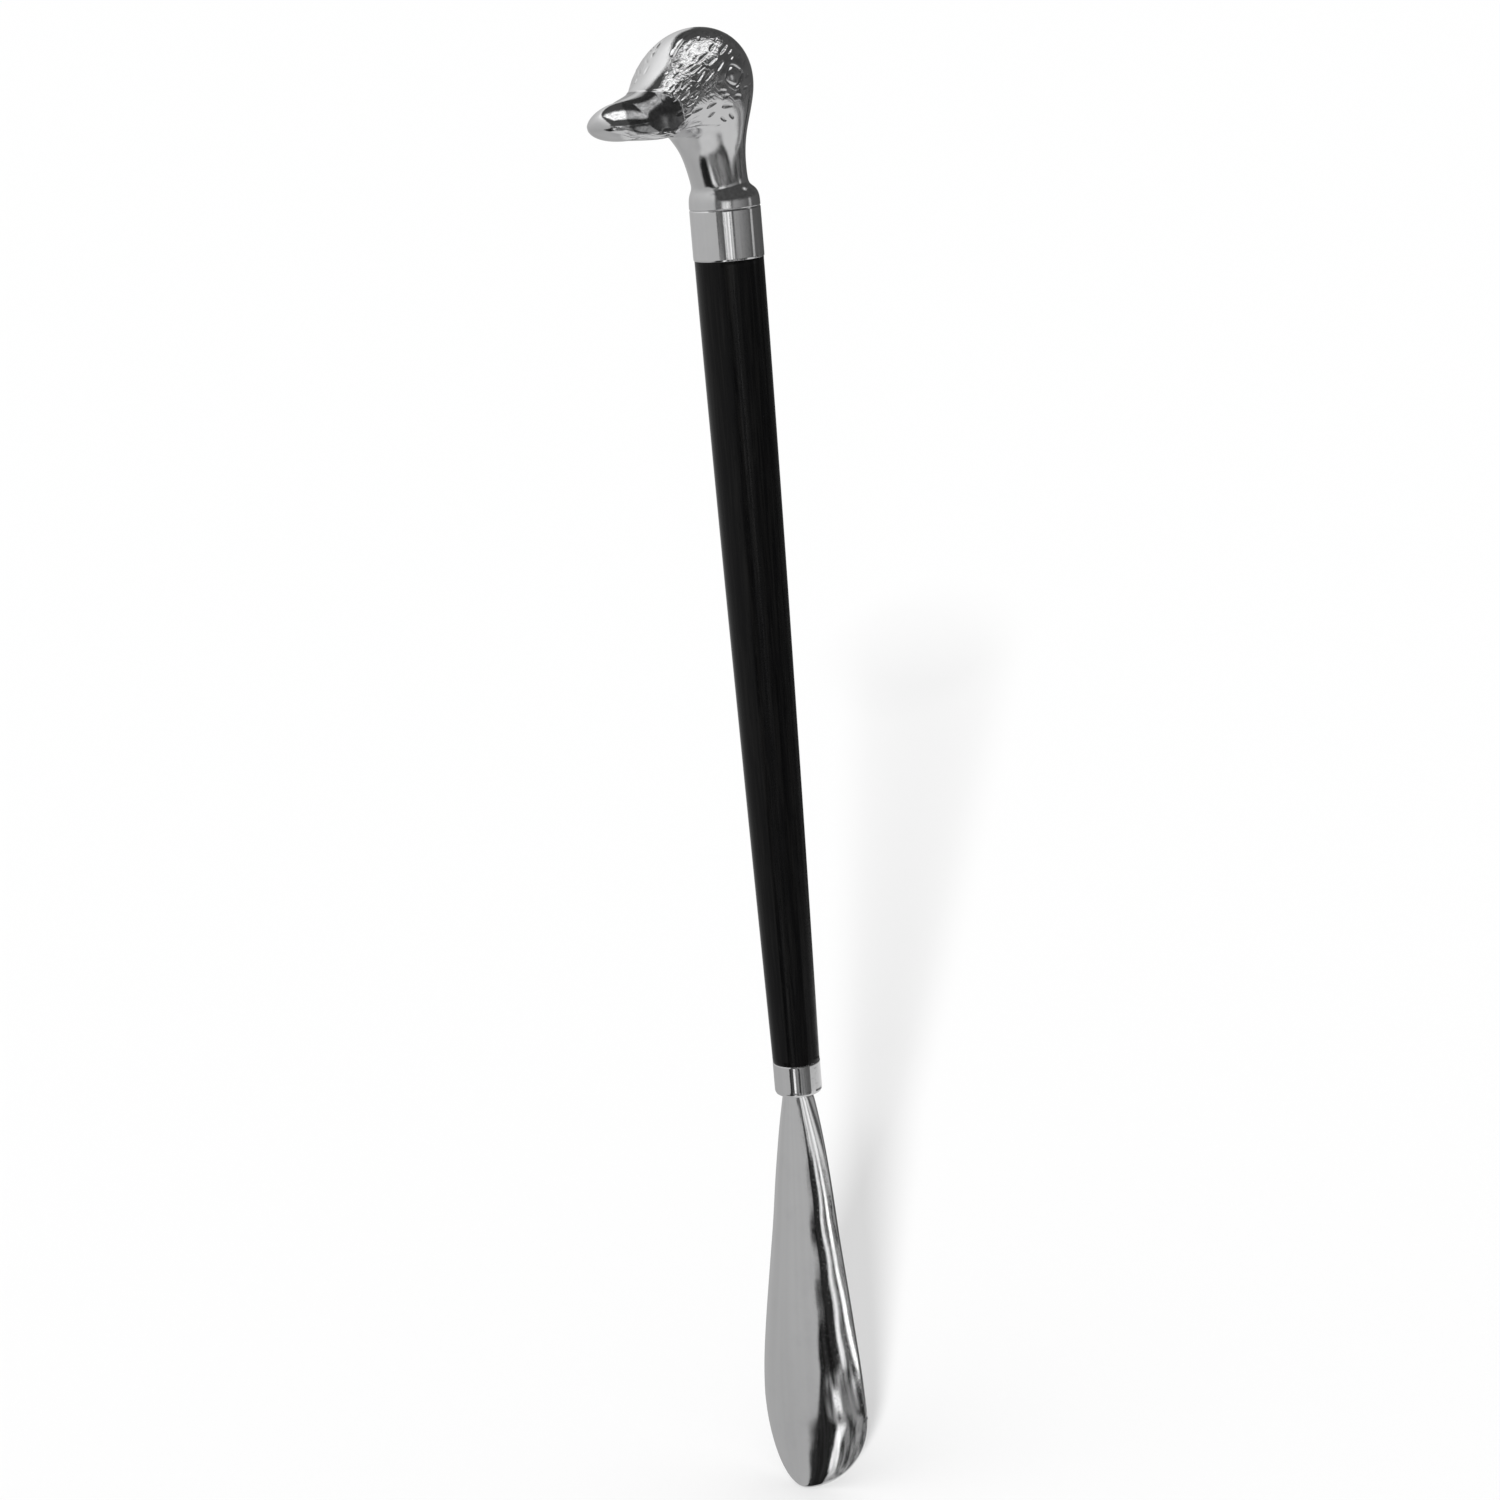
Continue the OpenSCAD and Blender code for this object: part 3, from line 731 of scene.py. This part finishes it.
zz = np.concatenate([[-TANG, -4.0], bt[:, 0] * full, full + TIP_L * np.sin(ta[1:])])
ww = np.concatenate([[tang_share, tang_share], bt[:, 1], tc[1:]]) * HALF_W
dd = np.concatenate([[0.5, 0.5], bt[:, 2], np.maximum(tc[1:], 0.02) ** 1.3]) * DEPTH
xx = np.concatenate([[4.8, 4.8], bt[:, 3], 15.0 + 0.6 * (1 - np.cos(ta[1:]))])
zf = np.arange(-TANG, LEN + 1e-6, 0.02)
step_mm = 0.02


def settle(a, sigma_mm, upto, fade):
    """Evens out a profile along the blade, except close to both its ends."""
    s = gauss(a, sigma_mm / step_mm)
    k = smooth01(zf, 1.0, 6.0) * (1 - smooth01(zf, upto - fade, upto))
    return a * (1 - k) + s * k


wz = settle(np.interp(zf, zz, ww), 2.5, 122.0, 8.0)
dz = settle(np.interp(zf, zz, dd), 2.5, 122.0, 8.0)
xz = settle(np.interp(zf, zz, xx), 3.0, 124.0, 8.0)
NECK = 0.0


def back_x(y, z):
    """x of the blade's convex face at (y, distance below the collar)."""
    w, d, x = np.interp(z, zf, wz), np.interp(z, zf, dz), np.interp(z, zf, xz)
    v = np.abs(y) / np.maximum(w, 0.3)
    e = 0.10
    return x - d * ((v * v + e * e) ** (CURL / 2) - e ** CURL)


# outline drawn in by half the metal's thickness, because the edge is rounded
COLS_B, ROWS_B, TIPS_B = 150, 190, 70
vv = np.sin(np.linspace(-1, 1, COLS_B + 1) * math.pi / 2 * 0.92) / math.sin(math.pi / 2 * 0.92)
half_t = THICK / 2


def w_in(z):
    """Half width to the start of the rounded edge."""
    return np.maximum(np.interp(z, zf, wz) - half_t * 0.72, 0.2)


z_rows = np.concatenate([np.linspace(-TANG, 0, 9)[:-1], np.linspace(0, full, ROWS_B)])
Y = vv[None] * w_in(z_rows)[:, None]
Z = np.repeat(z_rows[:, None], COLS_B + 1, 1)
A = math.radians(46)


ow, oz = HALF_W * tc, full + TIP_L * np.sin(ta)
dw, dzz = np.gradient(ow), np.gradient(oz)
dl = np.hypot(dw, dzz) + 1e-9
draw = half_t * (0.72 + 0.46 * np.sin(ta))
in_w = np.maximum(ow - draw * dzz / dl, 0.0)
in_z = oz + draw * dw / dl
in_w[-1], in_z[-1] = 0.0, full + TIP_L - draw[-1]
in_w[0], in_z[0] = float(w_in(full)), full


def outline(a):
    """Half width and drop of the round end at angle a, drawn in for the rounded edge."""
    return np.interp(a, ta, in_w), np.interp(a, ta, in_z)


q = np.linspace(0, 1, TIPS_B + 1)[1:]
q = 0.5 * q + 0.5 * np.sin(q * math.pi / 2)
lw, lz = outline(q * A)
ab = math.pi / 2 - np.abs(vv) * (math.pi / 2 - A)
bw, bz = outline(ab)
By, Bz = np.sign(vv) * bw, bz
Ty, Tz = vv * w_in(full), np.full(COLS_B + 1, full)
u = (vv + 1) / 2
ys, zs = [], []
for i, qq in enumerate(q):
    Ly, Ry, Lz = -lw[i], lw[i], lz[i]
    y = (1 - qq) * Ty + qq * By + (1 - u) * Ly + u * Ry - ((1 - u) * ((1 - qq) * Ty[0] + qq * By[0]) + u * ((1 - qq) * Ty[-1] + qq * By[-1]))
    z = (1 - qq) * Tz + qq * Bz + Lz - ((1 - u) * ((1 - qq) * Tz[0] + qq * Bz[0]) + u * ((1 - qq) * Tz[-1] + qq * Bz[-1]))
    ys.append(y)
    zs.append(z)
Y = np.vstack([Y, ys])
Z = np.vstack([Z, zs])
X = back_x(Y, Z)
h = 0.06
gy = (back_x(Y + h, Z) - back_x(Y - h, Z)) / (2 * h)
Zc = np.clip(Z, -TANG + h, LEN - 0.3)
gz = (back_x(Y, Zc + h) - back_x(Y, Zc - h)) / (2 * h)
gz = np.clip(gz, -1.6, 1.6)
gy = np.clip(gy, -3.0, 3.0)
nb = np.stack([np.ones_like(X), -gy, gz], 2)      # z below runs down, so its slope turns over
nb /= np.linalg.norm(nb, axis=2, keepdims=True)
S0 = np.stack([X, Y, -Z], 2)
# hand-rolled metal: very slight unevenness, so reflections wander as they do on the real sheet
dent = (0.030 * np.sin(Z * 0.11 + 0.8) * np.cos(Y * 0.19 + 0.4) + 0.016 * np.sin(Z * 0.31 + Y * 0.22)) * smooth01(Z, 4, 20) * (1 - smooth01(Z, 118, 132))
S0 = S0 + nb * (dent - 0.05)[:, :, None]
mid = S0 - nb * half_t
S1 = S0 - nb * THICK
nrow, ncol = X.shape
loop = [(r, 0) for r in range(nrow)] + [(nrow - 1, c) for c in range(1, ncol)] + [(r, ncol - 1) for r in range(nrow - 2, -1, -1)] + [(0, c) for c in range(ncol - 2, 0, -1)]
lr, lc = np.array([a for a, b in loop]), np.array([b for a, b in loop])
mb, nbl = mid[lr, lc], nb[lr, lc]
tang_v = np.roll(mb, -1, 0) - np.roll(mb, 1, 0)
con = np.cross(tang_v, nbl)
con /= np.linalg.norm(con, axis=1, keepdims=True) + 1e-12
centre = mid.reshape(-1, 3).mean(0)
if ((mb - centre) * con).sum() < 0:
    con = -con
K = 8
verts = [S0.reshape(-1, 3), S1.reshape(-1, 3)]
base_e = 2 * nrow * ncol
for k in range(1, K):
    a = math.pi * k / K
    verts.append(mb + half_t * (nbl * math.cos(a) + con * math.sin(a)))
V = np.vstack(verts)
V[:, 2] += fer_end
nl = len(loop)


def eidx(k, i):
    if k == 0:
        return lr[i] * ncol + lc[i]
    if k == K:
        return nrow * ncol + lr[i] * ncol + lc[i]
    return base_e + (k - 1) * nl + i


F = []
for r in range(nrow - 1):
    for c in range(ncol - 1):
        a = r * ncol + c
        F.append((a, a + ncol, a + ncol + 1, a + 1))
        b = nrow * ncol + a
        F.append((b, b + 1, b + ncol + 1, b + ncol))
for k in range(K):
    for i in range(nl):
        j = (i + 1) % nl
        F.append((int(eidx(k, i)), int(eidx(k + 1, i)), int(eidx(k + 1, j)), int(eidx(k, j))))
blade = make_mesh("blade_sheet", V, F)
blade.data.materials.append(M_BLADE)
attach(blade, "root")
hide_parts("blade")

# ------------------------------------------------------------------ the CAD nodes that stay
for name, mat in (("head_stud", M_STUD), ("blade_stud", M_STUD), ("collar_plug", M_PLUG)):
    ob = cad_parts[name]
    if not ob.material_slots:
        ob.data.materials.append(mat)
    for s in ob.material_slots:
        s.material = mat

# ------------------------------------------------------------------ stage: floor, surroundings, light
floor_z = blade_low * MM
fl = bpy.data.meshes.new("floor")
S = 150.0
fl.from_pydata([(-S, -S, floor_z), (S, -S, floor_z), (S, S, floor_z), (-S, S, floor_z)], [], [(0, 1, 2, 3)])
floor = bpy.data.objects.new("floor", fl)
bpy.context.scene.collection.objects.link(floor)
fm = bpy.data.materials.new("pale_floor")
fm.use_nodes = True
N = Nodes(fm.node_tree)
diff = N.add("ShaderNodeBsdfDiffuse", {"Color": (0.86, 0.86, 0.86, 1)})
clear = N.add("ShaderNodeBsdfTransparent")
back = N.add("ShaderNodeNewGeometry").outputs["Backfacing"]
mixs = N.add("ShaderNodeMixShader", {0: back})
fm.node_tree.links.new(diff.outputs[0], mixs.inputs[1])
fm.node_tree.links.new(clear.outputs[0], mixs.inputs[2])
o_ = N.add("ShaderNodeOutputMaterial")
fm.node_tree.links.new(mixs.outputs[0], o_.inputs[0])
fl.materials.append(fm)
floor.visible_glossy = False

# white surround that lights the matt surfaces
world = bpy.data.worlds.new("studio")
bpy.context.scene.world = world
world.use_nodes = True
N = Nodes(world.node_tree)
bg = N.add("ShaderNodeBackground", {"Color": (1, 1, 1, 1), "Strength": 0.80})
o_ = N.add("ShaderNodeOutputWorld")
world.node_tree.links.new(bg.outputs[0], o_.inputs[0])
world.cycles.sampling_method = "NONE"

# the room as the polished metal sees it: a pale wall on the left, a dark side on the right,
# bright window strips in front, a long soft box overhead and a pale table below
bpy.ops.mesh.primitive_uv_sphere_add(segments=96, ring_count=48, radius=60.0, location=(0, 0, 0))
dome = bpy.context.active_object
dome.name = "room"
dm = bpy.data.materials.new("room")
dm.use_nodes = True
N = Nodes(dm.node_tree)
pos = N.add("ShaderNodeNewGeometry").outputs["Position"]
d = N.add("ShaderNodeVectorMath", {0: pos}, operation="NORMALIZE").outputs[0]


def dot(v):
    return N.add("ShaderNodeVectorMath", {0: d, 1: tuple(float(x) for x in v)}, operation="DOT_PRODUCT").outputs["Value"]


dr, dt, du = dot(RIGHT), dot(TOWARD), dot(UP)
az0 = N.m("DEGREES", N.m("ARCTAN2", dr, dt))
el = N.m("DEGREES", N.m("ARCSINE", du))
wob = N.m("MULTIPLY", N.m("SUBTRACT", noise(N, d, 5.0, 3.0, 0.6), 0.5), 4.0)
wob2 = N.m("MULTIPLY", N.m("SUBTRACT", noise(N, d, 13.0, 5.0, 0.68), 0.5), 16.0)
az = N.m("ADD", az0, wob)

# left wall, brighter upwards, under a dark ceiling
left = N.ramp(el, [(-90, 0.40), (-55, 0.44), (-30, 0.40), (-20, 0.42), (-5, 0.46), (10, 0.50), (25, 0.58), (40, 0.70), (52, 0.92), (57, 1.00)])
left = N.m("MULTIPLY", left, N.m("MULTIPLY_ADD", noise(N, d, 2.2, 2.0, 0.5), 0.24, 0.92))
ceil_n = N.m("MULTIPLY_ADD", noise(N, d, 9.0, 4.0, 0.65), 0.18, 0.0)
ceil_v = N.m("MAXIMUM", N.m("SUBTRACT", ceil_n, 0.02), 0.015)
# long soft box overhead
safe = N.m("MAXIMUM", du, 0.12)
px, py = N.m("DIVIDE", dr, safe), N.m("DIVIDE", dt, safe)
bn = N.m("SUBTRACT", N.m("ADD", N.m("MULTIPLY", px, 0.51), N.m("MULTIPLY", py, 0.86)), 0.136)
bs = N.m("ADD", N.m("SUBTRACT", N.m("MULTIPLY", px, 0.86), N.m("MULTIPLY", py, 0.51)), 0.534)
box = N.m("MULTIPLY", N.step(bn, -0.46, -0.36), N.step(bn, 0.24, 0.34, 1.0, 0.0))
box = N.m("MULTIPLY", box, N.m("MULTIPLY", N.step(bs, 0.05, 0.17), N.step(bs, 1.75, 1.95, 1.0, 0.0)))
box = N.m("MULTIPLY", box, N.step(du, 0.3, 0.5))
over = N.lerp(box, ceil_v, N.m("MULTIPLY_ADD", N.step(noise(N, d, 14.0, 4.0, 0.6), 0.45, 0.55), 1.3, 0.5))

# in front: dark, window strips, gray, dark, one thin light, dark
front = N.ramp(az, [(-180, 0.07), (-30.5, 0.07), (-24, 0.14), (-9, 0.12), (-8, 0.9), (-5, 0.9), (-4.4, 0.1), (-3.4, 0.1),
                    (-3.0, 0.95), (1.2, 0.95), (1.6, 0.08), (2.6, 0.10), (3.0, 0.9), (5.0, 0.35), (6.4, 1.0), (11.6, 1.0), (12.2, 0.12), (13.6, 0.12),
                    (14.2, 0.8), (19.0, 0.6), (20.0, 0.07), (25, 0.09), (27, 0.34), (58, 0.22), (80, 0.13), (85, 0.06), (86.5, 0.5), (94, 0.45), (96, 0.11),
                    (150, 0.08), (180, 0.13)])
low_f = N.ramp(az0, [(-180, 0.014), (-50, 0.014), (-36.5, 0.03), (-21, 0.06), (-19.5, 1.2), (-12, 1.2), (-10.5, 0.08), (-8, 0.24), (1.5, 0.26),
                     (3, 0.03), (12, 0.03), (14, 0.22), (30, 0.17), (46, 0.15), (53, 0.12), (64, 0.12), (66, 0.55), (120, 0.60), (180, 0.8)])
# below the window strips: a black band beside the wall, a ragged white one, then broken gray
jag = N.m("MULTIPLY", N.m("SUBTRACT", noise(N, d, 17.0, 6.0, 0.72), 0.5), 10.0)
black_to = N.m("MULTIPLY", N.ramp(el, [(-60, 0.30), (-36, 0.26), (-31, 0.27), (-28, 0.22), (-25, 0.19), (-23, 0.30), (-20, 0.35), (-17, 0.30), (-15, 0.12), (-13, 0.05), (-11, 0.04), (-9, 0.03), (-8, 0.015), (-7, -0.01), (-6, 0.0)]), -100.0)
white_v = N.ramp(el, [(-60, 0.3), (-42, 0.5), (-36, 1.0), (-33, 1.3), (-26, 1.3), (-24.5, 0.3), (-16, 0.2), (-13.5, 0.6), (-12.5, 1.2), (-7, 1.2), (-6, 1.0)])
off = N.m("SUBTRACT", N.m("ADD", az0, jag), black_to)
mapped = N.add("ShaderNodeCombineXYZ", {0: N.m("MULTIPLY", N.m("MULTIPLY_ADD", jag, 0.2, az0), 0.26), 1: N.m("MULTIPLY", el, 0.05), 2: 3.7}).outputs[0]
streak = N.step(noise(N, mapped, 1.7, 5.0, 0.7), 0.485, 0.53)
gray = N.m("MULTIPLY", N.ramp(az0, [(-60, 0.10), (-30, 0.09), (-18, 0.15), (0, 0.15), (25, 0.17), (40, 0.11), (50, 0.075), (64, 0.075)]), N.m("MULTIPLY_ADD", streak, 2.4, 0.14))
wide = N.ramp(el, [(-60, 0.10), (-24, 0.10), (-20, 0.005), (-15, 0.02), (-13, 0.04), (-6, 0.045)])
broken = N.lerp(N.step(N.m("MULTIPLY_ADD", wide, -100.0, off), -0.3, 0.3), N.m("MULTIPLY", white_v, N.m("MULTIPLY_ADD", streak, 0.5, 0.6)), gray)
beside = N.m("SUBTRACT", az0, N.m("MULTIPLY", N.ramp(el, [(-27, 0.68), (-25.6, 0.62), (-25, 0.55), (-24, 0.47), (-21, 0.41), (-15, 0.34), (-11, 0.28), (-9.7, 0.22), (-9.1, 0.165), (-7.5, 0.15)]), -100.0))
flat_dark = N.m("MAXIMUM", N.step(off, -0.3, 0.3, 1.0, 0.0), N.step(beside, 4.5, 5.0, 1.0, 0.0))
broken = N.lerp(flat_dark, broken, N.m("MULTIPLY_ADD", streak, 0.02, 0.008))
tube_c = N.ramp(el, [(-20, -0.02), (-17, 0.03), (-14, 0.12), (-11, 0.095), (-6, 0.085)])
thin = N.m("ABSOLUTE", N.m("SUBTRACT", az0, N.m("MULTIPLY", tube_c, 100.0)))
thin = N.m("MULTIPLY", N.step(thin, 1.3, 1.9, 1.0, 0.0), N.m("MULTIPLY", N.step(el, -17.5, -15.0), N.step(el, -6.4, -6.1, 1.0, 0.0)))
broken = N.lerp(thin, broken, N.m("MULTIPLY_ADD", streak, 1.9, 0.6))
tube = N.m("MULTIPLY", N.step(el, -21.4, -21.0), N.step(el, -19.3, -18.9, 1.0, 0.0))
blot = N.step(noise(N, d, 8.0, 5.0, 0.62, 0.8), 0.45, 0.52)
low_f = N.lerp(tube, broken, low_f)
low_mix = N.step(el, -6.5, -6.2, 1.0, 0.0)
body_v = N.lerp(low_mix, front, low_f)
# right side: dark down to the table's edge
table = N.m("MULTIPLY_ADD", noise(N, d, 7.0, 3.0, 0.6), 0.20, 0.52)
drop = N.step(az0, 88, 100)
tab_edge = N.step(N.m("MULTIPLY_ADD", drop, 4.0, N.m("MULTIPLY_ADD", wob, N.m("MULTIPLY", drop, 0.8), el)), -21.3, -20.2, 1.0, 0.0)
right_side = N.m("MULTIPLY", N.step(az0, 62, 66), tab_edge)
body_v = N.lerp(right_side, body_v, table)
front_low = N.step(N.m("ADD", el, wob2), -56, -50, 1.0, 0.0)
body_v = N.lerp(front_low, body_v, table)
# upper part of the front and right: dim room
upper = N.step(N.m("ADD", el, wob), 14.0, 26.0)
dim = N.m("MULTIPLY_ADD", noise(N, d, 8.0, 4.0, 0.7), 0.26, 0.0)
dim = N.m("MAXIMUM", N.m("SUBTRACT", dim, 0.02), 0.03)
pane = N.m("MULTIPLY", N.m("MULTIPLY", N.step(az, -14, -12), N.step(az, 7, 9, 1.0, 0.0)), N.m("MULTIPLY", N.step(el, 12, 15), N.step(el, 42, 46, 1.0, 0.0)))
body_v = N.lerp(upper, body_v, dim)
rise = N.m("MULTIPLY", N.m("MULTIPLY", N.step(el, 5.5, 7.0), N.step(el, 44, 50, 1.0, 0.0)), N.m("MULTIPLY", N.step(az, -24, -21), N.step(az, 50, 56, 1.0, 0.0)))
body_v = N.lerp(rise, body_v, N.m("MULTIPLY_ADD", blot, 0.50, 0.07))
spot = N.m("MULTIPLY", N.m("MULTIPLY", N.step(az, 54, 57), N.step(az, 79, 82, 1.0, 0.0)), N.m("MULTIPLY", N.step(el, 9, 11), N.step(el, 20, 22, 1.0, 0.0)))
body_v = N.lerp(spot, body_v, N.m("MULTIPLY_ADD", blot, 0.6, 0.45))
body_v = N.lerp(pane, body_v, N.m("MULTIPLY_ADD", blot, 0.35, 0.40))
edge_az = N.ramp(el, [(-90, 0.45), (-60, 0.50), (-40, 0.66), (-27, 0.68), (-25.6, 0.62), (-25, 0.55), (-24, 0.47), (-21, 0.41), (-15, 0.34), (-11, 0.28), (-9.7, 0.22), (-9.1, 0.165),
                      (-6.6, 0.14), (-6.1, 0.306), (20, 0.31), (60, 0.31)])
edge_az = N.m("MULTIPLY", edge_az, -100.0)
is_left = N.step(N.m("SUBTRACT", N.m("MULTIPLY_ADD", wob, 0.12, az0), edge_az), -0.4, 0.4, 1.0, 0.0)
lit = N.lerp(is_left, body_v, left)
is_ceil = N.m("MULTIPLY", N.step(N.m("ADD", N.m("MULTIPLY_ADD", py, 0.27, px), N.m("MULTIPLY", wob, 0.012)), -0.615, -0.585), N.step(du, 0.10, 0.16))
front_c = N.m("MULTIPLY", N.step(az, -24, -21), N.step(az, 50, 56, 1.0, 0.0))
is_ceil_r = N.m("MULTIPLY", N.step(N.m("MULTIPLY_ADD", front_c, -9.0, el), 30.0, 36.0), N.step(az, -32.0, -30.0))
ceil_f = N.m("MAXIMUM", is_ceil, is_ceil_r)
val = N.lerp(ceil_f, lit, over)
em = N.add("ShaderNodeEmission", {"Color": (1, 1, 1, 1), "Strength": val})
o_ = N.add("ShaderNodeOutputMaterial")
dm.node_tree.links.new(em.outputs[0], o_.inputs[0])
dm.cycles.emission_sampling = "NONE"
dome.data.materials.append(dm)
for at in ("visible_camera", "visible_diffuse", "visible_transmission", "visible_volume_scatter", "visible_shadow"):
    setattr(dome, at, False)

# low soft key from beside the camera, for the long pale shadow
sun_d = bpy.data.lights.new("key", "SUN")
sun_d.energy = 3.3
sun_d.angle = math.radians(5.0)
sun = bpy.data.objects.new("key", sun_d)
bpy.context.scene.collection.objects.link(sun)
a, e = math.radians(5.9), math.radians(20.0)
to_sun = (TOWARD * math.cos(a) - RIGHT * math.sin(a)) * math.cos(e) + UP * math.sin(e)
sun.rotation_mode = "QUATERNION"
sun.rotation_quaternion = Vector(to_sun).to_track_quat("Z", "Y")
sun.visible_glossy = False

bpy.context.scene.view_settings.view_transform = "Standard"
bpy.context.scene.view_settings.look = "None"
